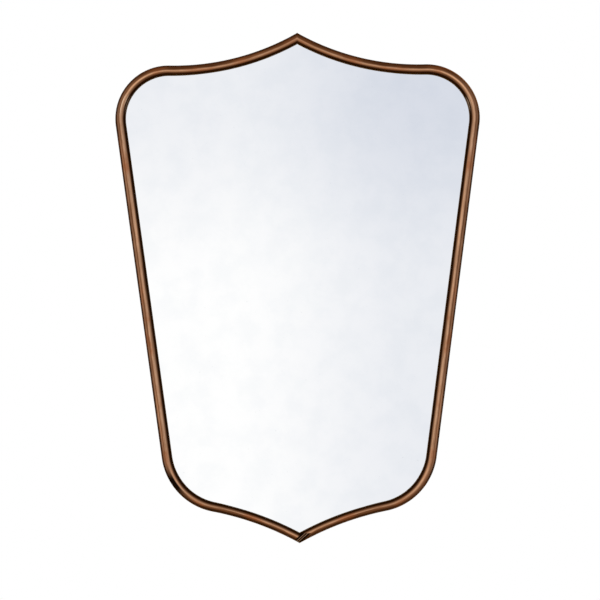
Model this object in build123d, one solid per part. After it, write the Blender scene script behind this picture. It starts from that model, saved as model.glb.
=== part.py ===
from build123d import *
from math import acos, atan2, cos, degrees, radians, sin, sqrt
import os

# Shield mirror: a half-round brass moulding, bent in two halves and mitred at the top and bottom tips,
# holds a silvered glass on a plywood panel. Sizes are in millimetres.
# Every piece is laid out face up on the bench: X is across, Y is up the mirror, Z rises from the wall.
# The finished assembly is stood up, so that its face looks along -Y and +Z is up.

# Outline, measured on the outer edge of the moulding
overall_width = 500.0
overall_height = 700.0
shoulder_radius = 73.0
corner_radius = 87.0
side_lean = 7.6
top_sweep_radius = 340.0
top_tip_slope = 29.5
bottom_sweep_radius = 405.0
bottom_tip_slope = 29.2

# Moulding section
face_width = 14.0
crown_height = 6.5
lip_land = 1.0
wall_thickness = 2.5
rim_rounding = 0.6
seam_thickness = 0.3
mitre_overrun = 14.0

# Layers between the lip and the rim, from the front
tape_thickness = 1.0
glass_thickness = 4.0
felt_thickness = 1.0
panel_thickness = 9.0
rear_recess = 5.5

# Edges of the layers, from the inner face of the side wall
glass_gap = 2.0
felt_gap = 3.0
panel_gap = 0.5
panel_chamfer = 1.0
glass_tip_flat = 5.0
panel_tip_flat = 3.0
tape_width = 6.0
tape_setback = 1.5
tape_end_gap = 2.0

# Rubber blocks and spacers round the glass edge
block_length = 26.0
spacer_length = 18.0
block_fit = 0.25
block_reach = 150.0
upper_spacer_reach = 330.0
lower_spacer_reach = 690.0

# Straps that bridge the mitres behind the panel
strap_leg = 38.0
strap_thickness = 2.0
strap_fit = 0.3
strap_screw_reaches = (13.0, 29.0)

# Screws
side_screw_count = 7
side_screw_shank = 1.45
side_screw_head = 2.7
side_screw_length = 16.0
strap_screw_shank = 1.2
strap_screw_head = 2.1
hanger_screw_shank = 1.5
hanger_screw_head = 2.9
hanger_screw_dome = 1.6
hanger_screw_length = 8.0
screw_fit = 0.05
head_land = 0.2
head_sink = 0.1
slot_width = 0.7
slot_depth = 0.6

# Hangers on the back of the panel
hanger_spacing = 300.0
hanger_height = 150.0
hanger_sheet = 1.0
hanger_width = 13.0
hanger_length = 33.0
hanger_eye_width = 12.0
hanger_screw_drops = (19.5, 27.0)
ring_wire = 1.2
ring_play = 0.3
ring_inside_width = 13.0
ring_leg = 5.0
ring_bend = 1.6
eye_slit = 0.4

# Wall bumpers
bumper_base_radius = 7.0
bumper_top_radius = 5.5
bumper_rounding = 0.8
bumper_proud = 1.0
bumper_inset = 30.0
bumper_bearing = 45.0

# Levels above the wall
rim_level = bumper_proud
strap_back = rim_level + strap_fit
panel_back = rim_level + rear_recess
panel_front = panel_back + panel_thickness
glass_back = panel_front + felt_thickness
glass_front = glass_back + glass_thickness
lip_level = glass_front + tape_thickness
crown_base = lip_level + lip_land
overall_depth = crown_base + crown_height

# Insets from the outer edge of the moulding
glass_inset = wall_thickness + glass_gap
felt_inset = wall_thickness + felt_gap
panel_inset = wall_thickness + panel_gap
tape_inner_inset = face_width - tape_setback
tape_outer_inset = tape_inner_inset - tape_width

# The ring's bar turns in an eye that is rolled from the strap and rests on the panel
eye_inner = ring_wire + ring_play
eye_outer = eye_inner + hanger_sheet

# Centres of the four bends of the right half
top_centre = Vector(
    top_sweep_radius * sin(radians(top_tip_slope)),
    overall_height / 2 + top_sweep_radius * cos(radians(top_tip_slope)),
)
bottom_centre = Vector(
    bottom_sweep_radius * sin(radians(bottom_tip_slope)),
    -overall_height / 2 - bottom_sweep_radius * cos(radians(bottom_tip_slope)),
)
side_out = Vector(cos(radians(side_lean)), -sin(radians(side_lean)))
side_down = Vector(-sin(radians(side_lean)), -cos(radians(side_lean)))


def find_shoulder_centre():
    """The shoulder bend touches the overall width and is tangent to the top sweep."""
    x = overall_width / 2 - shoulder_radius
    drop = sqrt((top_sweep_radius + shoulder_radius) ** 2 - (top_centre.X - x) ** 2)
    return Vector(x, top_centre.Y - drop)


def find_corner_centre(shoulder):
    """The lower bend is tangent to the straight side and to the bottom sweep."""
    start = shoulder + side_out * (shoulder_radius - corner_radius)
    offset = start - bottom_centre
    along = offset.dot(side_down)
    reach = corner_radius + bottom_sweep_radius
    run = -along - sqrt(along**2 - offset.dot(offset) + reach**2)
    return start + side_down * run


shoulder_centre = find_shoulder_centre()
corner_centre = find_corner_centre(shoulder_centre)


def heading(start, end):
    """Angle of the line from one point to another, in degrees from +X."""
    return degrees(atan2(end.Y - start.Y, end.X - start.X))


def tip_angle(centre, radius):
    """Angle from a sweep's centre to the point where its arc meets the middle of the mirror."""
    return degrees(acos(-centre.X / radius))


def bends(inset=0.0, overrun=0.0):
    """The four bends of the right half, from the top, as centre, radius, start and turn in degrees.

    With an overrun, the two sweeps run on past the middle, to be cut off at the mitres.
    """
    top_radius = top_sweep_radius + inset
    bottom_radius = bottom_sweep_radius + inset
    top_start = -tip_angle(top_centre, top_radius) - degrees(overrun / top_radius)
    bottom_end = tip_angle(bottom_centre, bottom_radius) + degrees(overrun / bottom_radius)
    top_join = heading(top_centre, shoulder_centre)
    bottom_join = heading(bottom_centre, corner_centre)
    return [
        (top_centre, top_radius, top_start, top_join - top_start),
        (shoulder_centre, shoulder_radius - inset, top_join + 180, -side_lean - top_join - 180),
        (corner_centre, corner_radius - inset, -side_lean, bottom_join - 180 + side_lean),
        (bottom_centre, bottom_radius, bottom_join, bottom_end - bottom_join),
    ]


def half_outline(inset=0.0):
    """Right half of the shield, from the top tip to the bottom tip, drawn inside the outer edge."""
    top, shoulder, corner, bottom = [
        CenterArc((centre.X, centre.Y), radius, start, turn)
        for centre, radius, start, turn in bends(inset)
    ]
    return Wire([top, shoulder, Line(shoulder @ 1, corner @ 0), corner, bottom])


def shield(inset):
    """Face of the whole shield, drawn inside the outer edge."""
    right = half_outline(inset)
    left = right.mirror(Plane.YZ)
    return make_face([*right.edges(), *left.edges()])


def plate(inset, low, high, tip_flat=0.0):
    """Shield-shaped plate between two levels, with both points cut off flat."""
    solid = Pos(0, 0, low) * extrude(shield(inset), high - low)
    reach = half_outline(inset)
    height = (reach @ 0).Y - (reach @ 1).Y - 2 * tip_flat
    middle = ((reach @ 0).Y + (reach @ 1).Y) / 2
    return solid & Pos(0, middle, (low + high) / 2) * Box(overall_width, height, overall_depth)


def band(outer_inset, inner_inset, low, high):
    """Ring that follows the moulding between two insets and two levels."""
    ring = shield(outer_inset) - shield(inner_inset)
    return Pos(0, 0, low) * extrude(ring, high - low)


def edge_plane(reach, level):
    """Plane on the outer edge, a distance along the right half from the top tip, looking outwards."""
    edge = half_outline()
    share = reach / edge.length
    along = edge % share
    return Plane((edge @ share) + Vector(0, 0, level), x_dir=along, z_dir=(-along.Y, along.X, 0))


def both(name, solid):
    """The piece and its mirror image, named for the right and the left."""
    return {name + "_right": solid, name + "_left": mirror(solid, about=Plane.YZ)}


def moulding_section():
    """Half-round face with a lip over the glass and one side wall that runs back to the rim."""
    crest = crown_base + crown_height
    rim = rim_level + rim_rounding
    outline = [
        ThreePointArc((0, crown_base), (-face_width / 2, crest), (-face_width, crown_base)),
        Line((-face_width, crown_base), (-face_width, lip_level)),
        Line((-face_width, lip_level), (-wall_thickness, lip_level)),
        Line((-wall_thickness, lip_level), (-wall_thickness, rim_level)),
        Line((-wall_thickness, rim_level), (-rim_rounding, rim_level)),
        Line((-rim_rounding, rim_level), (0, rim)),
        Line((0, rim), (0, crown_base)),
    ]
    return make_face(outline)


def section_plane(centre, radius, angle, hollow):
    """Plane across the moulding in a bend, X towards the outside: a hollow bend has its centre there."""
    radial = Vector(cos(radians(angle)), sin(radians(angle)))
    outward = -radial if hollow else radial
    return Plane(centre + radial * radius, x_dir=outward, z_dir=outward.cross(Vector(0, 0, 1)))


def bent_moulding():
    """Section carried round the four bends and down the straight side, running past both tips."""
    section = moulding_section()
    side_start = section_plane(shoulder_centre, shoulder_radius, -side_lean, hollow=False)
    side_end = section_plane(corner_centre, corner_radius, -side_lean, hollow=False)
    side_length = (side_end.origin - side_start.origin).length
    moulding = extrude(side_start * section, side_length, dir=side_down)
    for centre, radius, start, turn in bends(overrun=mitre_overrun):
        axis = Axis((centre.X, centre.Y, 0), (0, 0, 1 if turn > 0 else -1))
        plane = section_plane(centre, radius, start, hollow=turn > 0)
        moulding += revolve(plane * section, axis, abs(turn))
    return moulding


def mitred(moulding, low_x, high_x):
    """The stretch of a moulding between two planes parallel to the mitre."""
    slab = Box(high_x - low_x, 2 * overall_height, 2 * overall_depth)
    return moulding & Pos((low_x + high_x) / 2, 0, overall_depth / 2) * slab


def countersunk(shank, head, length, mouth=0.0):
    """Flat-headed screw along -Z, its head's face at the origin, or its hole where a mouth is given."""
    profile = Polyline(
        (0, mouth),
        (head, mouth),
        (head, -head_land),
        (shank, shank - head - head_land),
        (shank, -length),
        (0, -length),
        close=True,
    )
    return Rot(0, 0, 45) * revolve(Plane.XZ * make_face(profile), Axis.Z)


def slotted(screw, head, top):
    """The screw with a driver slot across its head."""
    return screw - Pos(0, 0, top) * Box(3 * head, slot_width, 2 * slot_depth)


def side_screw_planes():
    """Evenly spaced along the right half, at the middle of the panel's edge."""
    pitch = half_outline().length / side_screw_count
    level = (panel_back + panel_front) / 2
    return [edge_plane((i + 0.5) * pitch, level) for i in range(side_screw_count)]


def strap_screw_planes(top):
    """On the side wall at the middle of the strap, at set distances from a tip."""
    level = (strap_back + panel_back) / 2
    whole = half_outline().length
    return [edge_plane(d if top else whole - d, level) for d in strap_screw_reaches]


def sunk(plane, solid):
    """Places a countersunk solid in the side wall, its head just under the surface."""
    return plane.offset(-head_sink) * solid


def side_screws():
    screw = countersunk(side_screw_shank, side_screw_head, side_screw_length)
    screw = slotted(screw, side_screw_head, 0)
    return [sunk(plane, screw) for plane in side_screw_planes()]


def strap_screws(top):
    reach = wall_thickness + strap_thickness - head_sink
    screw = slotted(countersunk(strap_screw_shank, strap_screw_head, reach), strap_screw_head, 0)
    return [sunk(plane, screw) for plane in strap_screw_planes(top)]


def screw_holes(planes, shank, head, length):
    """Holes for countersunk screws, open to the outside above their heads."""
    hole = countersunk(shank + screw_fit, head + screw_fit, length + screw_fit, mouth=2 * head_sink)
    return [sunk(plane, hole) for plane in planes]


def side_screw_holes():
    return screw_holes(side_screw_planes(), side_screw_shank, side_screw_head, side_screw_length)


def strap_screw_holes(top):
    reach = wall_thickness + 2 * strap_thickness
    return screw_holes(strap_screw_planes(top), strap_screw_shank, strap_screw_head, reach)


def build_frame():
    """Two mirrored halves, held apart at the tips by the thin seams of solder."""
    moulding = bent_moulding()
    half = mitred(moulding, seam_thickness / 2, overall_width)
    for hole in side_screw_holes() + strap_screw_holes(True) + strap_screw_holes(False):
        half -= hole
    return both("frame", half)


def build_seams():
    """Solder that fills the mitres, in the shape of the cut section."""
    right = mitred(bent_moulding(), 0, seam_thickness / 2)
    whole = right + mirror(right, about=Plane.YZ)
    parts = sorted(whole.solids(), key=lambda s: s.center().Y)
    return {"solder_seam_bottom": parts[0], "solder_seam_top": parts[-1]}


def build_joint_straps():
    """V-shaped straps inside the rim, screwed through both ends of the side wall."""
    ring = band(wall_thickness, wall_thickness + strap_thickness, strap_back, panel_back)
    straps = {}
    for name, top in (("top", True), ("bottom", False)):
        end_height = overall_height / 2 if top else -overall_height / 2
        slope = top_tip_slope if top else bottom_tip_slope
        span = 2 * strap_leg * cos(radians(slope))
        strap = ring & Pos(0, end_height, 0) * Box(span, span, 2 * overall_depth)
        screws = strap_screws(top)
        screws += [mirror(screw, about=Plane.YZ) for screw in screws]
        for hole in strap_screw_holes(top):
            strap -= hole
            strap -= mirror(hole, about=Plane.YZ)
        straps["joint_strap_" + name] = strap
        straps["joint_screws_" + name] = Compound(screws)
    return straps


def build_glazing():
    """Glass, its tape against the lip and the felt against the panel."""
    tape = band(tape_outer_inset, tape_inner_inset, glass_front, lip_level)
    pieces = both("glazing_tape", mitred(tape, tape_end_gap / 2, overall_width))
    pieces["mirror_glass"] = plate(glass_inset, glass_back, glass_front, glass_tip_flat)
    pieces["backing_felt"] = plate(felt_inset, panel_front, glass_back, glass_tip_flat)
    return pieces


def edge_block(length, reach):
    """Rubber block of a length between the side wall and the edge of the glass."""
    ring = band(wall_thickness + block_fit, glass_inset - block_fit, glass_back, glass_front)
    here = edge_plane(reach, (glass_back + glass_front) / 2)
    return ring & here * Box(length, 2 * glass_thickness, 2 * face_width)


def build_edge_blocks():
    """Two setting blocks carry the glass on the bottom sweep, and four spacers centre it."""
    whole = half_outline().length
    return {
        **both("setting_block", edge_block(block_length, whole - block_reach)),
        **both("edge_spacer_upper", edge_block(spacer_length, upper_spacer_reach)),
        **both("edge_spacer_lower", edge_block(spacer_length, lower_spacer_reach)),
    }


def hanger_plane():
    """On the back of the panel at the right ring's axis: X is across, Y runs down, Z points at the wall."""
    return Plane((hanger_spacing / 2, hanger_height, panel_back), x_dir=(1, 0, 0), z_dir=(0, 0, -1))


def build_panel():
    """Plywood panel with an eased back edge and pilot holes for its screws."""
    panel = plate(panel_inset, panel_back, panel_front, panel_tip_flat)
    back_edges = panel.faces().sort_by(Axis.Z)[0].edges()
    panel = chamfer(back_edges, panel_chamfer)
    holes = side_screw_holes()
    holes += [hanger_plane() * hole for hole in hanger_screw_holes()]
    for hole in holes:
        panel -= hole
        panel -= mirror(hole, about=Plane.YZ)
    return {"back_panel": panel}


def build_side_screws():
    return both("side_screws", Compound(side_screws()))


def hanger_screw_holes():
    """Through the strap and into the panel."""
    depth = hanger_screw_length + screw_fit
    hole = Pos(0, 0, hanger_sheet - depth / 2) * Cylinder(hanger_screw_shank + screw_fit, depth)
    return [Pos(0, drop, 0) * hole for drop in hanger_screw_drops]


def hanger_screw():
    """Round-headed wood screw that clamps the strap, its head on the strap's face."""
    centre_drop = (hanger_screw_head**2 - hanger_screw_dome**2) / (2 * hanger_screw_dome)
    ball = Sphere(centre_drop + hanger_screw_dome)
    above = Box(4 * hanger_screw_head, 4 * hanger_screw_head, 4 * hanger_screw_dome)
    dome = Pos(0, 0, -centre_drop) * ball & Pos(0, 0, 2 * hanger_screw_dome) * above
    shank = Pos(0, 0, -hanger_screw_length / 2) * Cylinder(hanger_screw_shank, hanger_screw_length)
    return Pos(0, 0, hanger_sheet) * slotted(dome + shank, hanger_screw_head, hanger_screw_dome)


def hanger_strap():
    """Flat strap with a rounded foot, rolled at its top into an eye round the ring's bar."""
    foot = hanger_width / 2
    side = Pos(hanger_length / 2, hanger_sheet / 2) * Rectangle(hanger_length, hanger_sheet)
    side += Pos(0, eye_outer) * (Circle(eye_outer) - Circle(eye_inner))
    side -= Pos(eye_outer / 2, hanger_sheet + eye_slit / 2) * Rectangle(eye_outer, eye_slit)
    plan = Pos(0, (hanger_length - foot) / 2) * Rectangle(hanger_width, hanger_length - foot)
    plan += Pos(0, hanger_length - foot) * Circle(foot)
    plan -= Pos(0, eye_outer / 2) * Rectangle(hanger_width, eye_outer)
    plan += Rectangle(hanger_eye_width, 2 * eye_outer)
    strap = extrude(Plane.YZ * side, hanger_width, both=True) & extrude(plan, 2 * eye_outer)
    for hole in hanger_screw_holes():
        strap -= hole
    return strap


def hanger_ring():
    """Closed ring of round wire: a straight bar in the eye, two legs and a half-round end."""
    half = ring_inside_width / 2 + ring_wire
    bar_end = half - ring_bend
    path = Wire(
        [
            Line((-bar_end, 0), (bar_end, 0)),
            CenterArc((bar_end, ring_bend), ring_bend, -90, 90),
            Line((half, ring_bend), (half, ring_bend + ring_leg)),
            CenterArc((0, ring_bend + ring_leg), half, 0, 180),
            Line((-half, ring_bend + ring_leg), (-half, ring_bend)),
            CenterArc((-bar_end, ring_bend), ring_bend, 180, 90),
        ]
    )
    return Pos(0, 0, eye_outer) * sweep(Plane(path @ 0, z_dir=path % 0) * Circle(ring_wire), path)


def build_hangers():
    screws = [Pos(0, drop, 0) * hanger_screw() for drop in hanger_screw_drops]
    return {
        **both("hanger_strap", hanger_plane() * hanger_strap()),
        **both("hanger_ring", hanger_plane() * hanger_ring()),
        **both("hanger_screws", Compound([hanger_plane() * screw for screw in screws])),
    }


def bumper_plane(centre, radius, bearing):
    """On the back of the panel, on a bearing from a bend's centre, at a set distance inside the outer edge."""
    direction = Vector(cos(radians(bearing)), sin(radians(bearing)))
    place = centre + direction * (radius - bumper_inset)
    return Plane((place.X, place.Y, panel_back), x_dir=(1, 0, 0), z_dir=(0, 0, -1))


def build_bumpers():
    """Tapered rubber bumpers that stand just proud of the rim."""
    height = rear_recess + bumper_proud
    cone = Cone(bumper_base_radius, bumper_top_radius, height)
    top = cone.faces().sort_by(Axis.Z)[-1]
    bumper = Pos(0, 0, height / 2) * fillet(top.edges(), bumper_rounding)
    upper = bumper_plane(shoulder_centre, shoulder_radius, bumper_bearing)
    lower = bumper_plane(corner_centre, corner_radius, -bumper_bearing)
    return {**both("wall_bumper_upper", upper * bumper), **both("wall_bumper_lower", lower * bumper)}


def stand_up(solid):
    """Turns the finished piece from the bench to the wall and centres its depth."""
    return Pos(0, overall_depth / 2, 0) * Rot(90, 0, 0) * solid


pieces = {
    **build_frame(),
    **build_seams(),
    **build_joint_straps(),
    **build_glazing(),
    **build_edge_blocks(),
    **build_panel(),
    **build_side_screws(),
    **build_hangers(),
    **build_bumpers(),
}

os.makedirs("parts", exist_ok=True)
for node, solid in pieces.items():
    export_step(stand_up(solid), "parts/" + node + ".step")
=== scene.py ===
import math

import bpy
import numpy as np
from mathutils import Matrix, Vector


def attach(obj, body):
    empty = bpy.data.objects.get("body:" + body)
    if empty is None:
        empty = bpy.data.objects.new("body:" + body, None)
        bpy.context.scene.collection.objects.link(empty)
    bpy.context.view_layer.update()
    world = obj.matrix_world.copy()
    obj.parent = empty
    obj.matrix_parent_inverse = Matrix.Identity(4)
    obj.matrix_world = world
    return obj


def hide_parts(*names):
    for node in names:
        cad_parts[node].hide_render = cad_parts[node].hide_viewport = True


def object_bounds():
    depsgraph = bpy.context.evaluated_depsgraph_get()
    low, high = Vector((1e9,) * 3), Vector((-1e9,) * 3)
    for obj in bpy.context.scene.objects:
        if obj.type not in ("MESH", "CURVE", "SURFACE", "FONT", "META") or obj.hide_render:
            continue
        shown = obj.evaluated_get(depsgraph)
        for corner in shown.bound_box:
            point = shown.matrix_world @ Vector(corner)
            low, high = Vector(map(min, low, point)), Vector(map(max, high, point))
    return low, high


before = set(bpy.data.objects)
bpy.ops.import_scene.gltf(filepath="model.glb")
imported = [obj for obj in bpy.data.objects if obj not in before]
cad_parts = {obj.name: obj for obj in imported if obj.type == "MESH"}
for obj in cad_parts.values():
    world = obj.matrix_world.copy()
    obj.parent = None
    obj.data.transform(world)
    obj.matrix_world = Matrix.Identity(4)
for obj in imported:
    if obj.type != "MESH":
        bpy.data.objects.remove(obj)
cadLow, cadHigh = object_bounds()
print("frame loaded:", len(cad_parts), "nodes")

# The shield, in metres and degrees, with the same radii and slopes as the solids.
# X is across, Z is up and the face looks along -Y.
shield = {
    "width": 0.500, "height": 0.700,
    "shoulderRadius": 0.073, "cornerRadius": 0.087, "sideLean": 7.6,
    "topSweepRadius": 0.340, "topTipSlope": 29.5,
    "bottomSweepRadius": 0.405, "bottomTipSlope": 29.2,
}

# The moulding's section, in metres. Levels rise from the wall to the crest.
moulding = {
    "faceWidth": 0.014, "crownHeight": 0.0065, "lipLand": 0.001, "wall": 0.0025,
    "rimLevel": 0.001, "lipLevel": 0.0215, "rimRounding": 0.0006, "lipRounding": 0.0003,
    # how far below the crown's foot the side's own finish starts and is whole, and its margin at the rim
    "footMargin": 0.0003, "wallBlend": 0.0012, "rimMargin": 0.0001,
    # the face's width as a share of faceWidth, at these shares of a half's length from the top mitre down
    "widthAt": (0.14, 0.22, 0.80, 0.90), "widthShare": (0.95, 1.02, 1.02, 0.89),
    "seam": 0.0003, "bendStep": 0.002, "sideStep": 0.010, "leastSteps": 8, "crownSteps": 44,
    "toneBlend": 40,     # rows each way over which the side's bands fade into the sweeps' bands
    "sharpAngle": 32,    # degrees, past which an edge is shaded sharp
}
wallPlane = cadHigh.y    # the plane that the section's levels are counted from


def turnTo(start, end):
    # Angle of the line from one point to another, in radians from +X.
    return math.atan2(end[1] - start[1], end[0] - start[0])


def bendCentres():
    # Each sweep's centre lies square to its tip slope. The shoulder touches the width and the sweep above it,
    # and the corner touches the leaning side and the sweep below it.
    s = shield
    slopeTop, slopeLow, lean = (math.radians(s[k]) for k in ("topTipSlope", "bottomTipSlope", "sideLean"))
    tip, topRadius, lowRadius = s["height"] / 2, s["topSweepRadius"], s["bottomSweepRadius"]
    top = np.array([topRadius * math.sin(slopeTop), tip + topRadius * math.cos(slopeTop)])
    low = np.array([lowRadius * math.sin(slopeLow), -tip - lowRadius * math.cos(slopeLow)])
    x, reach = s["width"] / 2 - s["shoulderRadius"], topRadius + s["shoulderRadius"]
    shoulder = np.array([x, top[1] - math.sqrt(reach ** 2 - (top[0] - x) ** 2)])
    out = np.array([math.cos(lean), -math.sin(lean)])
    down = np.array([-math.sin(lean), -math.cos(lean)])
    start = shoulder + out * (s["shoulderRadius"] - s["cornerRadius"])
    offset, reach = start - low, s["cornerRadius"] + lowRadius
    along = offset @ down
    run = -along - math.sqrt(along ** 2 - offset @ offset + reach ** 2)
    return top, shoulder, start + down * run, low


def bendRows(centre, radius, start, end, midRadius):
    # A bend as rows of points: centre + radius * (cos a, sin a), the angle a going evenly from start to end.
    # Returns x and z, the distance run along the middle of the face, and the whole of that distance.
    turn = np.abs(end - start)
    count = max(moulding["leastSteps"], int(midRadius * turn.max() / moulding["bendStep"]))
    t = np.linspace(0, 1, count + 1)[:, None]
    angle = start * (1 - t) + end * t
    x, z = centre[0] + radius * np.cos(angle), centre[1] + radius * np.sin(angle)
    return x, z, np.abs(angle - start) * midRadius, midRadius * turn


def halfRail(inset, mitreX):
    # Right half of the outline at each inset, cut off at x = mitreX: sweep, shoulder, straight side, corner
    # and sweep. Returns x and z, the distance run along the middle of the face, and 1 on the straight side.
    s, middle = shield, moulding["faceWidth"] / 2
    top, shoulder, corner, low = bendCentres()
    lean, topJoin, lowJoin = math.radians(s["sideLean"]), turnTo(top, shoulder), turnTo(low, corner)
    topRadius, lowRadius = s["topSweepRadius"], s["bottomSweepRadius"]
    shoulderRadius, cornerRadius = s["shoulderRadius"], s["cornerRadius"]
    tipTop = -np.arccos((mitreX - top[0]) / (topRadius + inset))
    tipLow = np.arccos((mitreX - low[0]) / (lowRadius + inset))
    top = bendRows(top, topRadius + inset, tipTop, topJoin, topRadius + middle)
    shoulder = bendRows(shoulder, shoulderRadius - inset, topJoin + math.pi, -lean, shoulderRadius - middle)
    corner = bendRows(corner, cornerRadius - inset, -lean, lowJoin - math.pi, cornerRadius - middle)
    low = bendRows(low, lowRadius + inset, lowJoin, tipLow, lowRadius + middle)
    startX, startZ = shoulder[0][-1], shoulder[1][-1]
    sideX, sideZ = corner[0][0] - startX, corner[1][0] - startZ
    length = np.hypot(sideX, sideZ)
    t = np.linspace(0, 1, int(length.mean() / moulding["sideStep"]) + 1)[:, None]
    side = startX + sideX * t, startZ + sideZ * t, length * t, length
    rows, before = [], top[3].max() - top[3]
    for part in (top, shoulder, side, corner, low):
        x, z, run, whole = part
        full = x, z, np.broadcast_to(before + run, x.shape), np.full(x.shape, float(part is side))
        # past the first stretch, the first row is there already
        rows.append(full if part is top else [values[1:] for values in full])
        before = before + whole
    return [np.concatenate(values) for values in zip(*rows)]


def roundedCorner(centre, radius, start, end, steps=5):
    # Points on a quarter turn: centre + radius * (cos a, sin a), with a between two angles in degrees.
    a = np.radians(np.linspace(start, end, steps))
    return centre[0] + radius * np.cos(a), centre[1] + radius * np.sin(a)


def mouldingSection():
    # Closed section as inset and level. The crown is one arc through both edges of the face and the crest,
    # its points at even angles. The lip, the rebate, the rim and the side follow, with small roundings.
    m = moulding
    half, base = m["faceWidth"] / 2, m["lipLevel"] + m["lipLand"]
    radius = (half ** 2 + m["crownHeight"] ** 2) / (2 * m["crownHeight"])
    sink = radius - m["crownHeight"]
    edge = math.atan2(half, sink)
    a = np.linspace(-edge, edge, m["crownSteps"] + 1)
    lip, rim = m["lipRounding"], m["rimRounding"]
    # these levels on the side keep the roundings at its ends from bending the shading of its flat part
    sideLevels = [m["rimLevel"] + rim + m["rimMargin"], base - m["wallBlend"], base - m["footMargin"]]
    parts = [
        (half + radius * np.sin(a), base - sink + radius * np.cos(a)),
        roundedCorner((m["faceWidth"] - lip, m["lipLevel"] + lip), lip, 0, -90),
        ([m["wall"]], [m["lipLevel"]]),
        roundedCorner((m["wall"] - rim, m["rimLevel"] + rim), rim, 0, -90),
        roundedCorner((rim, m["rimLevel"] + rim), rim, -90, -180),
        (np.zeros(3), sideLevels),
    ]
    return [np.concatenate(values) for values in zip(*parts)]


def sectionRun(inset, level):
    # Distance round the section from the outer edge of the crown, with the closing step at its end.
    x, y = np.append(inset, inset[0]), np.append(level, level[0])
    return np.concatenate([[0], np.cumsum(np.hypot(np.diff(x), np.diff(y)))])


def spreadFace(inset, x, z, along):
    # The bender squeezed the face narrower towards both tips: each point's distance from the outer edge grows
    # or shrinks by a share that rises from nothing at the side to the whole at the inner edge.
    m = moulding
    width = np.interp(along[:, :1] / along.max(), m["widthAt"], m["widthShare"])
    reach = np.clip((inset - m["wall"]) / (m["faceWidth"] - m["wall"]), 0, 1)
    grow = 1 + (width - 1) * reach
    outerX, outerZ = x[:, :1], z[:, :1]
    return outerX + (x - outerX) * grow, outerZ + (z - outerZ) * grow


def closedSweep(name, points, along, girth, attributes, flip):
    # Quads between neighbouring stations of a closed section, with a cap at each end. The points are stations
    # x section x 3. The map's U is the distance along the rail and its V the distance round the section.
    stations, around = points.shape[:2]
    i, j = (g.ravel() for g in np.meshgrid(np.arange(stations - 1), np.arange(around), indexing="ij"))
    k = (j + 1) % around
    quads = np.stack([i * around + j, i * around + k, (i + 1) * around + k, (i + 1) * around + j], -1)
    quadUv = np.stack([along[[i, i, i + 1, i + 1], [j, k, k, j]].T, girth[[j, j + 1, j + 1, j]].T], -1)
    caps = [np.arange(around)[::-1], (stations - 1) * around + np.arange(around)]
    capUv = [np.stack([along.reshape(-1)[cap], girth[cap % around]], -1) for cap in caps]
    if flip:
        quads, quadUv = quads[:, ::-1], quadUv[:, ::-1]
        caps, capUv = [cap[::-1] for cap in caps], [uv[::-1] for uv in capUv]
    mesh = bpy.data.meshes.new(name)
    mesh.from_pydata(points.reshape(-1, 3).tolist(), [], quads.tolist() + [cap.tolist() for cap in caps])
    uv = np.concatenate([quadUv.reshape(-1, 2), *capUv]).astype(np.float32)
    mesh.uv_layers.new(name="alongAndRound").data.foreach_set("uv", uv.ravel())
    for key, values in attributes.items():
        field = mesh.attributes.new(key, "FLOAT", "POINT")
        field.data.foreach_set("value", values.astype(np.float32).ravel())
    mesh.update()
    return mesh


def lathe(profile, steps=32):
    # Closed surface of revolution: each profile point (radius, height) turned evenly round Z, and a point at
    # each pole.
    radius, height = np.array(profile[1:-1]).T
    a = np.linspace(0, 2 * math.pi, steps, endpoint=False)
    level = np.broadcast_to(height[:, None], (len(radius), steps))
    ring = np.stack([radius[:, None] * np.cos(a), radius[:, None] * np.sin(a), level], -1)
    points = np.concatenate([ring.reshape(-1, 3), [[0, 0, profile[0][1]], [0, 0, profile[-1][1]]]])
    i, j = (g.ravel() for g in np.meshgrid(np.arange(len(radius) - 1), np.arange(steps), indexing="ij"))
    k = (j + 1) % steps
    quads = np.stack([i * steps + j, (i + 1) * steps + j, (i + 1) * steps + k, i * steps + k], -1)
    first, last, n = len(points) - 2, len(points) - 1, (len(radius) - 1) * steps
    j = np.arange(steps)
    k = (j + 1) % steps
    firstFan = np.stack([np.full(steps, first), j, k], -1)
    lastFan = np.stack([np.full(steps, last), n + k, n + j], -1)
    return points, quads.tolist() + firstFan.tolist() + lastFan.tolist()


def smoothFaces(mesh):
    # Smooth shading, but for the edges past the sharp angle.
    mesh.shade_smooth()
    mesh.set_sharp_from_angle(angle=math.radians(moulding["sharpAngle"]))


def addPiece(mesh, body, material, nodes):
    # Links a finished mesh as a piece that rides on a body and stands for its CAD nodes.
    piece = bpy.data.objects.new(mesh.name, mesh)
    bpy.context.scene.collection.objects.link(piece)
    mesh.materials.append(material)
    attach(piece, body)
    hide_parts(*nodes)
    return piece


def tone(red, green, blue):
    # A finish's colour as paint charts give it, 0 to 255, made linear for the shader by the screen's curve.
    c = np.array([red, green, blue]) / 255
    return (*np.where(c <= 0.04045, c / 12.92, ((c + 0.055) / 1.055) ** 2.4).tolist(), 1.0)


white = (1, 1, 1, 1)


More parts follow.
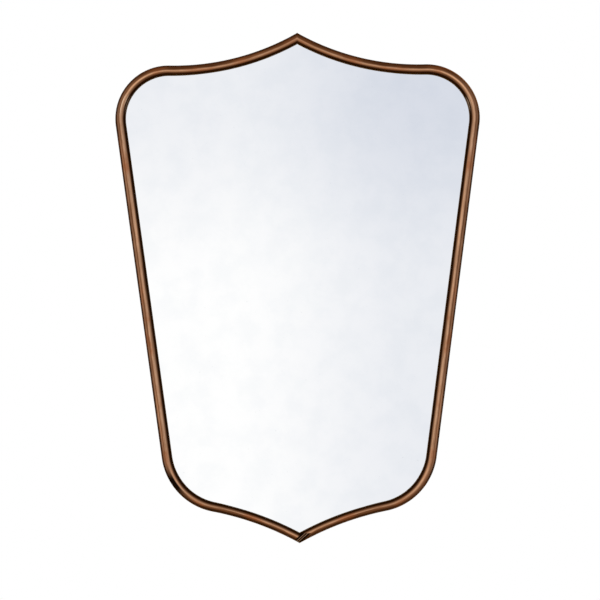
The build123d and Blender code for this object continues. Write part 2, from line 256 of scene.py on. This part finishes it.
class Nodes:
    # A short way to add and join nodes. An input is given by its name, or by its number as i0, i1 and so on.
    def __init__(self, tree):
        self.tree = tree

    def node(self, kind, settings=(), **inputs):
        made = self.tree.nodes.new("ShaderNode" + kind)
        for key, value in dict(settings).items():
            setattr(made, key, value)
        for key, value in inputs.items():
            numbered = key[0] == "i" and key[1:].isdigit()
            self.put(made.inputs[int(key[1:]) if numbered else key.replace("_", " ")], value)
        return made

    def put(self, socket, value):
        if isinstance(value, bpy.types.NodeSocket):
            self.tree.links.new(value, socket)
        else:
            socket.default_value = value

    def math(self, operation, a, b=0.0):
        return self.node("Math", {"operation": operation}, i0=a, i1=b).outputs[0]

    def multiplyAdd(self, value, times, plus):
        return self.node("Math", {"operation": "MULTIPLY_ADD"}, i0=value, i1=times, i2=plus).outputs[0]

    def weigh(self, first, second, share):
        # first * share + second * (1 - share)
        return self.multiplyAdd(first, share, self.math("MULTIPLY", second, 1 - share))

    def range(self, value, low, high, toLow=0.0, toHigh=1.0, smooth=True):
        # The value's place between low and high, held to them and read off between toLow and toHigh.
        kind = {"interpolation_type": "SMOOTHSTEP" if smooth else "LINEAR"}
        return self.node("MapRange", kind, i0=value, i1=low, i2=high, i3=toLow, i4=toHigh).outputs[0]

    def mix(self, factor, a, b, blend="MIX"):
        made = self.node("Mix", {"data_type": "RGBA", "blend_type": blend, "clamp_factor": True})
        for socket, value in ((made.inputs[0], factor), (made.inputs[6], a), (made.inputs[7], b)):
            self.put(socket, value)
        return made.outputs[2]

    def tint(self, factor, colour, strength):
        # Multiplies a colour's red, green and blue by three strengths where the factor is 1.
        return self.mix(factor, colour, self.mix(1.0, colour, (*strength, 1), "MULTIPLY"))

    def ramp(self, factor, stops):
        made = self.node("ValToRGB", i0=factor)
        elements = made.color_ramp.elements
        while len(elements) < len(stops):
            elements.new(0.5)
        for element, (place, colour) in zip(elements, stops):
            element.position = place
            element.color = tone(*colour)
        return made.outputs[0]

    def noise(self, where, scale, detail=3.0, roughness=0.55, distortion=0.0):
        settings = {"Scale": scale, "Detail": detail, "Roughness": roughness, "Distortion": distortion}
        return self.node("TexNoise", i0=where, **settings).outputs[0]

    def stretchedNoise(self, where, stretch, detail=3.0, roughness=0.55, distortion=0.0, shift=(0, 0, 0)):
        # Noise with its own scale along each axis.
        place = self.node("Mapping", Vector=where, Scale=stretch, Location=shift).outputs[0]
        return self.noise(place, 1.0, detail, roughness, distortion)


class Shader(Nodes):
    # The same for a new material with its one surface.
    def __init__(self, name):
        self.material = bpy.data.materials.new(name)
        self.material.use_nodes = True
        super().__init__(self.material.node_tree)
        self.surface = self.tree.nodes["Principled BSDF"]

    def attribute(self, name):
        return self.node("Attribute", {"attribute_name": name, "attribute_type": "GEOMETRY"}).outputs["Fac"]

    def uv(self):
        return self.node("UVMap", {"uv_map": "alongAndRound"}).outputs[0]

    def objectPlace(self):
        return self.node("TexCoord").outputs["Object"]

    def bump(self, height, distance, strength):
        made = self.node("Bump", Height=height, Distance=distance, Strength=strength)
        self.put(self.surface.inputs["Normal"], made.outputs[0])

    def finish(self, **inputs):
        for key, value in inputs.items():
            self.put(self.surface.inputs[key.replace("_", " ")], value)
        return self.material


agedBrass = {
    # tones across the face, outer edge to inner edge: painted shade at both edges (partly patina by the
    # glass), a painted crest highlight on the sweeps, two painted lamp reflections on the straight sides
    "sweepShadeAndHighlight": [
        (0.00, (50, 30, 19)), (0.10, (88, 53, 33)), (0.27, (106, 63, 35)), (0.41, (128, 82, 51)),
        (0.54, (204, 156, 120)), (0.62, (170, 124, 90)), (0.71, (114, 74, 47)), (0.80, (56, 26, 8)),
        (0.90, (32, 13, 4)), (1.00, (24, 10, 4)),
    ],
    "sideShadeAndReflections": [
        (0.00, (52, 32, 21)), (0.12, (94, 63, 44)), (0.25, (218, 166, 130)), (0.37, (148, 103, 72)),
        (0.53, (214, 168, 134)), (0.64, (220, 176, 141)), (0.74, (160, 118, 87)), (0.82, (62, 32, 13)),
        (0.89, (34, 14, 4)), (1.00, (26, 11, 4)),
    ],
    "wander": 0.10,    # how far the bands stray, as a share of the face
    # noises: scale along the rail and round the section, per metre, detail, roughness, distortion and shift
    "draw": ((14.0, 900.0, 1.0), 4.0, 0.60),
    "patch": ((38.0, 150.0, 1.0), 5.0, 0.62, 0.4),
    "streak": ((11.0, 420.0, 1.0), 2.0, 0.50, 0.2, (0.7, 0, 0)),
    "cloud": ((26.0, 60.0, 1.0), 3.0, 0.50, 0.0, (3.0, 0, 0)),
    "scratch": ((16.0, 560.0, 1.0), 2.0, 0.50),
    "speck": (1400.0, 2.0),
    # layers over the bands: which noise, between which of its values, and what it multiplies the tone by
    "layers": [
        ("streak", (0.55, 0.70), (1.50, 1.46, 1.40)), ("streak", (0.46, 0.32), (0.62, 0.56, 0.50)),
        ("draw", (0.55, 0.72), (1.24, 1.21, 1.18)), ("draw", (0.46, 0.30), (0.78, 0.74, 0.70)),
        ("patch", (0.66, 0.34, 0.0, 0.5), (0.70, 0.62, 0.54)),
    ],
    # the thin dark line on the straight sides, a painted dark gap between the two painted reflections: place
    # and width across the face, fading
    "reflectionGap": 0.37, "reflectionGapWidth": 0.045, "reflectionGapFade": (0.30, 0.62, 0.45, 0.95),
    "reflectionGapTone": (84, 52, 33),
    # warm clouds, painted highlights at the shoulders, the outer side, and tarnish with painted shade: tones,
    # and the noise values that bring each in
    "warm": (186, 108, 58), "warmFrom": (0.50, 0.66, 0.0, 0.5), "warmAcross": (0.80, 0.66), "warmPaling": 0.5,
    "shoulderHighlight": (236, 204, 170), "shoulderHighlightFrom": (0.50, 0.60),
    "wall": ((160, 116, 86), (112, 76, 52)), "wallFrom": (0.35, 0.7), "tarnishAndShade": (20, 9, 4),
    # the two lap lines that the solder left across the lower tip: a point between them and their normal, in X
    # and Z, half the gap between them, their half width, and the dark patch that they lie in
    "lapPoint": (-0.0012, -0.3454), "lapNormal": (-0.67, 0.74), "lapGap": 0.0012, "lapLine": 0.0006,
    "lapTone": (168, 128, 98), "lapStrength": 0.9, "lapReach": 0.0034, "lapFade": 0.0012,
    "lapTop": -0.3345, "lapTopFade": 0.002,
    # tone at a grazing angle, then roughness from the patches' values and a fine relief from the die's lines
    "grazing": (236, 208, 184), "roughness": (0.3, 0.7, 0.42, 0.22),
    "bump": 0.00005, "bumpStrength": 0.5, "bumpFromDraw": 0.6,
}


def lapLines(s, colour):
    # Distance to the middle of the two lap lines: normal . (place - point).
    a = agedBrass
    (pointX, pointZ), (normalX, normalZ) = a["lapPoint"], a["lapNormal"]
    x, _, z = s.node("SeparateXYZ", i0=s.objectPlace()).outputs
    off = s.multiplyAdd(x, normalX, -pointX * normalX - pointZ * normalZ)
    off = s.math("ABSOLUTE", s.multiplyAdd(z, normalZ, off))
    below = s.range(z, a["lapTop"], a["lapTop"] - a["lapTopFade"])
    dark = s.range(off, a["lapReach"] + a["lapFade"], a["lapReach"])
    colour = s.mix(s.math("MULTIPLY", below, dark), colour, tone(*a["tarnishAndShade"]))
    off = s.math("ABSOLUTE", s.math("SUBTRACT", off, a["lapGap"]))
    line = s.range(off, a["lapLine"], 0.0, 0.0, a["lapStrength"])
    return s.mix(s.math("MULTIPLY", below, line), colour, tone(*a["lapTone"]))


def makeAgedBrass():
    a, s = agedBrass, Shader("agedBrass")
    uv, across, onSide = s.uv(), s.attribute("across"), s.attribute("onSide")
    # long lines from the drawing die, cloudy patina, streaks, warm clouds, and scratches that break up the
    # painted shoulder highlights
    noises = {key: s.stretchedNoise(uv, *a[key]) for key in ("draw", "patch", "streak", "cloud", "scratch")}
    patch = noises["patch"]
    place = s.math("ADD", across, s.multiplyAdd(patch, a["wander"], -a["wander"] / 2))
    # painted shade at the edges, and a painted highlight or painted reflections across the face, the sweeps'
    # fading into the straight sides'
    colour = s.mix(onSide, s.ramp(place, a["sweepShadeAndHighlight"]), s.ramp(place, a["sideShadeAndReflections"]))
    # a painted dark gap between the straight sides' two painted reflections
    off = s.math("ABSOLUTE", s.math("SUBTRACT", place, a["reflectionGap"]))
    line = s.math("MULTIPLY", s.range(off, 0.0, a["reflectionGapWidth"], 1.0, 0.0), onSide)
    line = s.math("MULTIPLY", line, s.range(patch, *a["reflectionGapFade"]))
    colour = s.mix(line, colour, tone(*a["reflectionGapTone"]))
    # pale where the wax has rubbed through and dark where it has settled
    for key, span, strength in a["layers"]:
        colour = s.tint(s.range(noises[key], *span), colour, strength)
    # warm clouds on the outer two thirds of the face
    warm = s.math("MULTIPLY", s.range(noises["cloud"], *a["warmFrom"]), s.range(across, *a["warmAcross"]))
    paled = s.mix(a["warmPaling"], colour, white)
    colour = s.mix(warm, colour, s.mix(1.0, paled, tone(*a["warm"]), "MULTIPLY"))
    # short painted highlights at the shoulders
    shoulderHighlight = s.math("MULTIPLY", s.attribute("shoulderHighlighted"), s.range(noises["scratch"], *a["shoulderHighlightFrom"]))
    colour = s.mix(shoulderHighlight, colour, tone(*a["shoulderHighlight"]))
    wall = s.mix(s.range(patch, *a["wallFrom"]), *(tone(*shade) for shade in a["wall"]))
    colour = s.mix(s.attribute("onWall"), colour, wall)
    # tarnish at the tips, and painted shade at the lower left corner and along the outer part of the bottom
    # sweeps
    colour = s.mix(s.attribute("tarnishAndShade"), colour, tone(*a["tarnishAndShade"]))
    colour = lapLines(s, colour)
    height = s.weigh(noises["draw"], s.noise(s.objectPlace(), *a["speck"]), a["bumpFromDraw"])
    s.bump(height, a["bump"], a["bumpStrength"])
    rough = s.range(patch, *a["roughness"], smooth=False)
    return s.finish(Base_Color=colour, Roughness=rough, Metallic=1.0, Specular_Tint=tone(*a["grazing"]))


silveredGlass = {
    "tint": (255, 255, 255), "cloud": (250, 251, 252), "spot": (205, 208, 212), "roughness": 0.004,
    # noises: scale per metre, detail and roughness, and between which of its values each takes over
    "clouds": (26.0, 5.0, 0.62), "cloudsFrom": (0.35, 0.7),
    "spots": (260.0, 2.0), "spotsFrom": (0.74, 0.80, 0.0, 0.35),
}


def makeSilveredGlass():
    # Bright silvering with faint clouds and a few dull specks.
    g, s = silveredGlass, Shader("silveredGlass")
    clouds, spots = (s.noise(s.objectPlace(), *g[key]) for key in ("clouds", "spots"))
    colour = s.mix(s.range(clouds, *g["cloudsFrom"]), tone(*g["tint"]), tone(*g["cloud"]))
    colour = s.mix(s.range(spots, *g["spotsFrom"]), colour, tone(*g["spot"]))
    return s.finish(Base_Color=colour, Metallic=1.0, Roughness=g["roughness"])


metals = {
    "zincPlate": {
        "nodes": ("hanger_strap", "hanger_ring", "hanger_screws"), "light": (236, 235, 230),
        "dark": (204, 203, 197), "rough": 0.26, "brush": (60.0, 1600.0, 1600.0), "bump": 0.000008,
    },
    "plainBrass": {
        "nodes": ("joint_strap",), "light": (226, 190, 126),
        "dark": (178, 142, 88), "rough": 0.34, "brush": (90.0, 2400.0, 2400.0), "bump": 0.00003,
    },
    "tonedScrew": {
        "nodes": ("joint_screws", "side_screws"), "light": (132, 98, 68),
        "dark": (86, 58, 38), "rough": 0.36, "brush": (900.0, 900.0, 900.0), "bump": 0.00003,
    },
}
metalWear = {
    # noises on every metal: scale per metre, detail and roughness, and between which of its values each acts
    "cloud": (120.0, 4.0, 0.6), "cloudFrom": (0.3, 0.7),
    "scuff": (900.0, 2.0, 0.7), "scuffFrom": (0.3, 0.7), "scuffed": 0.14,
    "brushed": (3.0, 0.7), "brushedFrom": (0.3, 0.75, 0.0, 0.4),   # its scale is the metal's own "brush"
    "bumpStrength": 0.6,
}


def makeMetal(name):
    # Plated or plain metal: cloudy tone, fine brushing along one axis and small scuffs that roughen it.
    m, w, s = metals[name], metalWear, Shader(name)
    place, light, dark = s.objectPlace(), tone(*m["light"]), tone(*m["dark"])
    cloud, scuff = s.noise(place, *w["cloud"]), s.noise(place, *w["scuff"])
    brushed = s.stretchedNoise(place, m["brush"], *w["brushed"])
    colour = s.mix(s.range(cloud, *w["cloudFrom"]), light, dark)
    colour = s.mix(s.range(brushed, *w["brushedFrom"]), colour, dark)
    s.bump(s.math("ADD", brushed, scuff), m["bump"], w["bumpStrength"])
    rough = s.range(scuff, *w["scuffFrom"], m["rough"], m["rough"] + w["scuffed"], smooth=False)
    return s.finish(Base_Color=colour, Roughness=rough, Metallic=1.0)


softs = {
    "foamTape": {
        "nodes": ("glazing_tape",), "light": (46, 46, 47), "dark": (22, 22, 23),
        "grain": 2600.0, "rough": 0.90, "bump": 0.00012, "sheen": 0.0,
    },
    "felt": {
        "nodes": ("backing_felt",), "light": (128, 126, 122), "dark": (82, 81, 79),
        "grain": 1800.0, "rough": 0.95, "bump": 0.0003, "sheen": 0.3,
    },
    "blockRubber": {
        "nodes": ("setting_block", "edge_spacer"), "light": (44, 43, 42), "dark": (24, 23, 23),
        "grain": 1500.0, "rough": 0.75, "bump": 0.00008, "sheen": 0.0,
    },
    "bumperRubber": {
        "nodes": ("wall_bumper",), "light": (62, 58, 55), "dark": (34, 32, 31),
        "grain": 1200.0, "rough": 0.68, "bump": 0.00008, "sheen": 0.0,
    },
}
softWear = {
    # the grain's detail and roughness, a cloud's width in grains, and the grain's share of the tone
    "grain": (4.0, 0.7), "cloudSize": 18, "grainShare": 0.6, "cloudFrom": (0.3, 0.7), "roughSpread": 0.06,
    "bumpStrength": 0.8,
}


def makeSoft(name):
    # Rubber, foam or felt: a fine matt grain, with slow changes of tone many grains wide.
    m, w, s = softs[name], softWear, Shader(name)
    place = s.objectPlace()
    grain, cloud = s.noise(place, m["grain"], *w["grain"]), s.noise(place, m["grain"] / w["cloudSize"])
    colour = s.mix(s.weigh(grain, cloud, w["grainShare"]), tone(*m["dark"]), tone(*m["light"]))
    s.bump(grain, m["bump"], w["bumpStrength"])
    spread = m["rough"] - w["roughSpread"], m["rough"] + w["roughSpread"]
    rough = s.range(cloud, *w["cloudFrom"], *spread, smooth=False)
    return s.finish(Base_Color=colour, Roughness=rough, Sheen_Weight=m["sheen"])


plywood = {
    "light": (222, 192, 150), "pale": (208, 175, 131), "mid": (188, 151, 106), "dark": (150, 112, 74),
    "pore": (122, 86, 54), "paleEdge": (188, 152, 108), "darkEdge": (134, 98, 64),
    # noises: scale along X, Y and Z per metre, then detail, roughness, distortion and shift
    "bend": ((5.0, 1.0, 1.6), 3.0, 0.5),
    "figure": ((34.0, 34.0, 2.2), 5.0, 0.6, 1.6, (1.7, 0, 0.4)),
    "pores": ((900.0, 900.0, 26.0), 3.0, 0.65),
    "fibre": ((260.0, 260.0, 5.0), 4.0, 0.7, 0.6, (0.4, 0, 0)),
    # layers over the figure: which noise, its values and strengths at both ends, and the tone
    "figureFrom": (0.30, 0.68),
    "layers": [
        ("bend", (0.40, 0.72, 0.0, 0.45), "dark"), ("pores", (0.58, 0.72, 0.0, 0.65), "pore"),
        ("fibre", (0.52, 0.72, 0.0, 0.55), "dark"), ("fibre", (0.46, 0.30, 0.0, 0.45), "light"),
    ],
    "ply": 0.0015, "glueLine": (0.45, 0.55), "cutEdge": (0.98, 0.90),
    "roughness": (0.3, 0.7, 0.42, 0.56), "varnish": 0.12, "bump": 0.00006, "bumpStrength": 0.5,
}


def makePlywood():
    # Rotary-cut birch: long wavy figure up the sheet, short pores along it, alternate plies on the cut edges.
    w, s = plywood, Shader("plywood")
    place = s.objectPlace()
    noises = {key: s.stretchedNoise(place, *w[key]) for key in ("bend", "figure", "pores", "fibre")}
    colour = s.mix(s.range(noises["figure"], *w["figureFrom"]), tone(*w["pale"]), tone(*w["mid"]))
    for key, span, shade in w["layers"]:
        colour = s.mix(s.range(noises[key], *span), colour, tone(*w[shade]))
    depth = s.node("SeparateXYZ", i0=place).outputs[1]
    plies = s.math("PINGPONG", depth, w["ply"])
    glueLine = (w["ply"] * share for share in w["glueLine"])
    edge = s.mix(s.range(plies, *glueLine), tone(*w["paleEdge"]), tone(*w["darkEdge"]))
    normal = s.node("SeparateXYZ", i0=s.node("NewGeometry").outputs["True Normal"]).outputs[1]
    colour = s.mix(s.range(s.math("ABSOLUTE", normal), *w["cutEdge"]), colour, edge)
    s.bump(s.math("ADD", noises["fibre"], noises["pores"]), w["bump"], w["bumpStrength"])
    rough = s.range(noises["figure"], *w["roughness"], smooth=False)
    return s.finish(Base_Color=colour, Roughness=rough, Coat_Weight=w["varnish"])


screwHoles = {
    # radius of shank and head, depth, and level above the wall plane
    "side": {"shank": 0.00145, "head": 0.0027, "length": 0.016, "level": 0.011},
    "strap": {"shank": 0.0012, "head": 0.0021, "length": 0.0065, "level": 0.0039},
    "sideCount": 7,                    # side screws in each half, at even steps
    "strapReaches": (0.013, 0.029),    # strap screws from each mitre, along the outer edge
    # room round a screw, the land under its head's rim, how far the head sits in, and half the length of rail
    # that a hole's direction is taken over
    "fit": 0.00005, "land": 0.0002, "sink": 0.0001, "probe": 0.0005,
}


def holeCutter(kind):
    # A countersunk hole turned round Z: mouth, short land, cone and shank, down from a little above the side.
    h, size = screwHoles, screwHoles[kind]
    shank, head, length = (size[key] + h["fit"] for key in ("shank", "head", "length"))
    mouth, cone = 2 * h["sink"], shank - head - h["land"]
    above = [(0, mouth), (head, mouth), (head, -h["land"])]
    return lathe(above + [(shank, cone), (shank, -length), (0, -length)])


def holePlaces():
    # Each hole's place on the outer edge, outward direction and kind, found by distance along the half.
    h = screwHoles
    x, z = (values[:, 0] for values in halfRail(np.zeros(1), 0.0)[:2])
    run = np.concatenate([[0], np.cumsum(np.hypot(np.diff(x), np.diff(z)))])
    whole, pitch = run[-1], run[-1] / h["sideCount"]
    wanted = [((i + 0.5) * pitch, "side") for i in range(h["sideCount"])]
    wanted += [(reach, "strap") for reach in h["strapReaches"]]
    wanted += [(whole - reach, "strap") for reach in h["strapReaches"]]
    places = []
    for reach, kind in wanted:
        behind, here, ahead = (np.array([np.interp(reach + step, run, x), np.interp(reach + step, run, z)])
                               for step in (-h["probe"], 0, h["probe"]))
        along = (ahead - behind) / np.linalg.norm(ahead - behind)
        places.append((here, np.array([-along[1], along[0]]), kind))
    return places


def cutterMesh(mirrored):
    # All of one half's hole cutters as one mesh, each turned to its outward direction.
    h, up = screwHoles, np.array([0.0, -1.0, 0.0])
    shapes = {kind: holeCutter(kind) for kind in ("side", "strap")}
    points, faces, count = [], [], 0
    for here, out, kind in holePlaces():
        local, quads = shapes[kind]
        outward = np.array([out[0], 0, out[1]])
        across = np.cross(up, outward)
        place = np.array([here[0], wallPlane - h[kind]["level"], here[1]]) - h["sink"] * outward
        world = place + local[:, :1] * across + local[:, 1:2] * up + local[:, 2:] * outward
        if mirrored:
            world[:, 0] *= -1
        points.append(world)
        faces += [[count + v for v in (f[::-1] if mirrored else f)] for f in quads]
        count += len(world)
    mesh = bpy.data.meshes.new("cutters")
    mesh.from_pydata(np.concatenate(points).tolist(), [], faces)
    mesh.update()
    return mesh


tarnishAndPaintedLight = {
    # tarnish at the tips, and painted shade at the lower left corner and on the outer part of the bottom
    # sweeps: centre as a share of the rail, half length in metres, how far across the face it reaches, and
    # its depth
    "tarnishAndShade": {
        "left": [(0.806, 0.020, 0.55, 1.0), (0.900, 0.115, 0.35, 0.72), (0.998, 0.004, 1.0, 0.9)],
        "right": [(0.905, 0.105, 0.34, 0.58), (0.995, 0.006, 1.0, 0.9)],
    },
    # painted highlights at the shoulders: centre as a share of the rail, half length in metres, where across
    # the face, and half as wide
    "shoulderHighlights": {"left": [(0.275, 0.012, 0.55, 0.30)], "right": [(0.277, 0.010, 0.80, 0.13)]},
    # half lengths at which a spot ends, the fade at its side as a share of the face, and the solder's tarnish
    "tarnishAndShadeEnd": 1.4, "shoulderHighlightEnd": 1.5, "tarnishAndShadeFade": 0.08, "seamTarnish": 0.25,
}


def tarnishAndPaintedLightAt(hand, along, across):
    # Tarnish with painted shade, and painted highlights, at each point. Along the rail a spot's strength is
    # its end minus the distance in half lengths, held to between 0 and 1. Across the face tarnish and shade
    # fade at their reach and a highlight on both sides.
    w, whole = tarnishAndPaintedLight, along[:, 0].max()
    tarnishAndShade, shoulderHighlighted = np.zeros_like(along), np.zeros_like(along)
    for share, half, reach, depth in w["tarnishAndShade"][hand]:
        spot = np.clip(w["tarnishAndShadeEnd"] - np.abs(along - share * whole) / half, 0, 1)
        tarnishAndShade = np.maximum(tarnishAndShade, depth * spot * np.clip((reach - across) / w["tarnishAndShadeFade"], 0, 1))
    for share, half, centre, width in w["shoulderHighlights"][hand]:
        spot = np.clip(w["shoulderHighlightEnd"] - np.abs(along - share * whole) / half, 0, 1)
        shoulderHighlighted = np.maximum(shoulderHighlighted, spot * np.clip(w["shoulderHighlightEnd"] - np.abs(across - centre) / width, 0, 1))
    return tarnishAndShade, shoulderHighlighted


def paintWall(mesh):
    # The corners that the holes added carry no painted values, so all below the crown's foot counts as wall.
    places, painted = (np.empty(len(mesh.vertices) * width, np.float32) for width in (3, 1))
    mesh.vertices.foreach_get("co", places)
    mesh.attributes["onWall"].data.foreach_get("value", painted)
    foot = moulding["lipLevel"] + moulding["lipLand"] - moulding["wallBlend"]
    painted[wallPlane - places[1::3] < foot] = 1
    mesh.attributes["onWall"].data.foreach_set("value", painted)


def cutHoles(piece, mirrored):
    # Takes one half's screw holes out of its mesh.
    name, cutter = piece.name, bpy.data.objects.new("cutter", cutterMesh(mirrored))
    bpy.context.scene.collection.objects.link(cutter)
    cut = piece.modifiers.new("screwHoles", "BOOLEAN")
    cut.object, cut.solver, cut.operation = cutter, "EXACT", "DIFFERENCE"
    bpy.context.view_layer.update()
    mesh = bpy.data.meshes.new_from_object(piece.evaluated_get(bpy.context.evaluated_depsgraph_get()))
    piece.modifiers.clear()
    piece.data = mesh
    mesh.name = name
    bpy.data.objects.remove(cutter)


def buildFrameHalf(name, node, mirrored, material):
    # The section carried along the rail: a point is the rail at its inset, at the wall plane minus its level.
    m = moulding
    inset, level = mouldingSection()
    x, z, along, onSide = halfRail(inset, m["seam"] / 2)
    x, z = spreadFace(inset, x, z, along)
    across = np.broadcast_to(inset / m["faceWidth"], x.shape)
    # 1 below the crown's foot on the outer side, falling to 0 just under the foot
    drop = m["lipLevel"] + m["lipLand"] - m["footMargin"] - level
    onWall = np.clip(drop / (m["wallBlend"] - m["footMargin"]), 0, 1) * (inset < m["faceWidth"] / 2)
    onWall = np.broadcast_to(onWall, x.shape)
    # the straight side's share, averaged over the rows round each row
    around = 2 * m["toneBlend"] + 1
    padded = np.pad(onSide[:, 0], m["toneBlend"], "edge")
    side = np.interp(along, along[:, 0], np.convolve(padded, np.full(around, 1 / around), "valid"))
    tarnishAndShade, shoulderHighlighted = tarnishAndPaintedLightAt("left" if mirrored else "right", along, across)
    attributes = {"across": across, "onSide": side, "onWall": onWall, "tarnishAndShade": tarnishAndShade,
                  "shoulderHighlighted": shoulderHighlighted * (1 - onWall)}
    points = np.stack([-x if mirrored else x, np.broadcast_to(wallPlane - level, x.shape), z], -1)
    mesh = closedSweep(name, points, along, sectionRun(inset, level), attributes, mirrored)
    piece = addPiece(mesh, "mirror", material, [node])
    cutHoles(piece, mirrored)
    paintWall(piece.data)
    smoothFaces(piece.data)
    return piece


def buildSeam(name, node, station, material):
    # The solder in a mitre: the section where the right half ends and its mirror image, joined over the seam.
    inset, level = mouldingSection()
    x, z, along, _ = halfRail(inset, moulding["seam"] / 2)
    x, z = (values[station] for values in spreadFace(inset, x, z, along))
    ends = np.stack([np.stack([side * x, wallPlane - level, z], -1) for side in (-1, 1)])
    ends = ends if station == 0 else ends[::-1]   # the rail runs left to right at the top and back below
    across = np.broadcast_to(inset / moulding["faceWidth"], ends.shape[:2])
    none = np.zeros(across.shape)
    onWall = np.broadcast_to(level < moulding["lipLevel"], across.shape).astype(float)
    reach = np.stack([none[0], none[0] + moulding["seam"]])
    attributes = {"across": across, "onSide": none, "onWall": onWall, "tarnishAndShade": none + tarnishAndPaintedLight["seamTarnish"],
                  "shoulderHighlighted": none}
    mesh = closedSweep(name, ends, reach, sectionRun(inset, level), attributes, False)
    smoothFaces(mesh)
    return addPiece(mesh, "mirror", material, [node])


brass = makeAgedBrass()
for name, node, mirrored in (("mouldingRight", "frame_right", False), ("mouldingLeft", "frame_left", True)):
    half = buildFrameHalf(name, node, mirrored, brass)
    print(name, "has", len(half.data.polygons), "faces")
for name, node, station in (("seamTop", "solder_seam_top", 0), ("seamBottom", "solder_seam_bottom", -1)):
    seam = buildSeam(name, node, station, brass)
    print(name, "has", len(seam.data.polygons), "faces")

# finishes by the start of a node's name
finishes = {"frame_": brass, "solder_seam": brass}
finishes.update({"mirror_glass": makeSilveredGlass(), "back_panel": makePlywood()})
for settings, make in ((metals, makeMetal), (softs, makeSoft)):
    for name, finish in settings.items():
        finishes.update(dict.fromkeys(finish["nodes"], make(name)))
for name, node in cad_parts.items():
    finish = next(finish for start, finish in finishes.items() if name.startswith(start))
    node.data.materials.clear()
    node.data.materials.append(finish)
print("finishes set on", len(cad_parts), "nodes")

studio = {
    "floorDrop": 0.95, "floorSide": 3.2, "floorTones": ((238, 237, 235), (246, 245, 244)),
    "floorGrain": (3.0, 4.0), "floorRoughness": 0.85,
    "cameraPlace": (0.0021, -3.0, -0.0165), "roll": -0.28, "sensor": 36.0, "clip": (0.1, 50.0),
    "viewWidth": 0.8230, "viewPlane": -0.008,   # the picture's width, at the Y where it is measured
}
lamps = {
    "softBox": {"size": (2.4, 2.0), "place": (-1.5, -2.2, 1.9), "watts": 34.0, "inMetal": False},
    "fill": {"size": (2.0, 2.0), "place": (1.9, 1.6, 1.6), "watts": 22.0, "inMetal": True},
}
sky = {
    # in front of the face: lit tone, and a shaded one to the right and above, by the direction's X and Z
    "lit": (255, 255, 255), "shaded": (213, 218, 229), "across": (-0.036, 0.060, 0.0, 0.50),
    "up": (0.0, 0.10, 0.0, 0.44),
    # behind it: tones from below to above, by Z, and where the front gives way to them, by Y
    "low": (134, 128, 121), "high": (170, 164, 157), "rise": (-0.6, 0.6), "sides": (-0.92, 0.25),
    "matt": 0.72,    # strength for matt surfaces
}


def buildFloor():
    # A flat square below the object.
    f = studio
    half, z = f["floorSide"] / 2, cadLow.z - f["floorDrop"]
    mesh = bpy.data.meshes.new("floor")
    corners = [(-half, -half, z), (half, -half, z), (half, half, z), (-half, half, z)]
    mesh.from_pydata(corners, [], [(0, 1, 2, 3)])
    floor = bpy.data.objects.new("floor", mesh)
    bpy.context.scene.collection.objects.link(floor)
    s = Shader("paleFloor")
    grain = s.noise(s.objectPlace(), *f["floorGrain"])
    colour = s.mix(grain, *(tone(*shade) for shade in f["floorTones"]))
    mesh.materials.append(s.finish(Base_Color=colour, Roughness=f["floorRoughness"]))


def addLamp(name, size, place, watts, inMetal):
    # A panel lamp aimed at the middle of the object. Shiny surfaces see it where inMetal is set.
    lamp = bpy.data.lights.new(name, "AREA")
    lamp.shape, lamp.size, lamp.size_y, lamp.energy = "RECTANGLE", size[0], size[1], watts
    holder = bpy.data.objects.new(name, lamp)
    bpy.context.scene.collection.objects.link(holder)
    holder.location = place
    holder.rotation_euler = (-Vector(place)).to_track_quat("-Z", "Y").to_euler()
    holder.visible_glossy = inMetal


def buildSky():
    # White for the camera. Shiny and clear surfaces see a pale wall in front of the face, a little cooler to
    # the right and above, that falls off to a mid tone behind. Matt surfaces get a plain level.
    world = bpy.data.worlds.new("studioSky")
    world.use_nodes = True
    bpy.context.scene.world = world
    s = Nodes(world.node_tree)
    s.tree.nodes.clear()
    x, y, z = s.node("SeparateXYZ", i0=s.node("TexCoord").outputs["Generated"]).outputs
    shade = s.math("ADD", s.range(x, *sky["across"]), s.range(z, *sky["up"]))
    front = s.mix(shade, tone(*sky["lit"]), tone(*sky["shaded"]))
    behind = s.mix(s.range(z, *sky["rise"]), tone(*sky["low"]), tone(*sky["high"]))
    wall = s.mix(s.range(y, *sky["sides"]), front, behind)
    forShiny = s.node("Background", i0=wall, i1=1.0).outputs[0]
    forMatt = s.node("Background", i0=white, i1=sky["matt"]).outputs[0]
    forCamera = s.node("Background", i0=white, i1=1.0).outputs[0]
    ray = s.node("LightPath").outputs
    shiny = s.math("MAXIMUM", ray["Is Glossy Ray"], ray["Is Transmission Ray"])
    seen = s.node("MixShader", i0=shiny, i1=forMatt, i2=forShiny).outputs[0]
    seen = s.node("MixShader", i0=ray["Is Camera Ray"], i1=seen, i2=forCamera).outputs[0]
    s.node("OutputWorld", i0=seen)


def buildCamera():
    # Straight at the face from three metres off, rolled to the photograph's slight tilt.
    f = studio
    data = bpy.data.cameras.new("camera")
    camera = bpy.data.objects.new("camera", data)
    bpy.context.scene.collection.objects.link(camera)
    distance = f["viewPlane"] - f["cameraPlace"][1]
    data.sensor_width, data.lens = f["sensor"], f["sensor"] * distance / f["viewWidth"]
    data.clip_start, data.clip_end = f["clip"]
    turn = Matrix.Rotation(math.radians(90), 4, "X") @ Matrix.Rotation(math.radians(f["roll"]), 4, "Z")
    camera.matrix_world = Matrix.Translation(f["cameraPlace"]) @ turn
    bpy.context.scene.camera = camera


buildFloor()
for name, lamp in lamps.items():
    addLamp(name, **lamp)
buildSky()
buildCamera()
bpy.context.scene.view_settings.view_transform = "Standard"
print("studio ready")
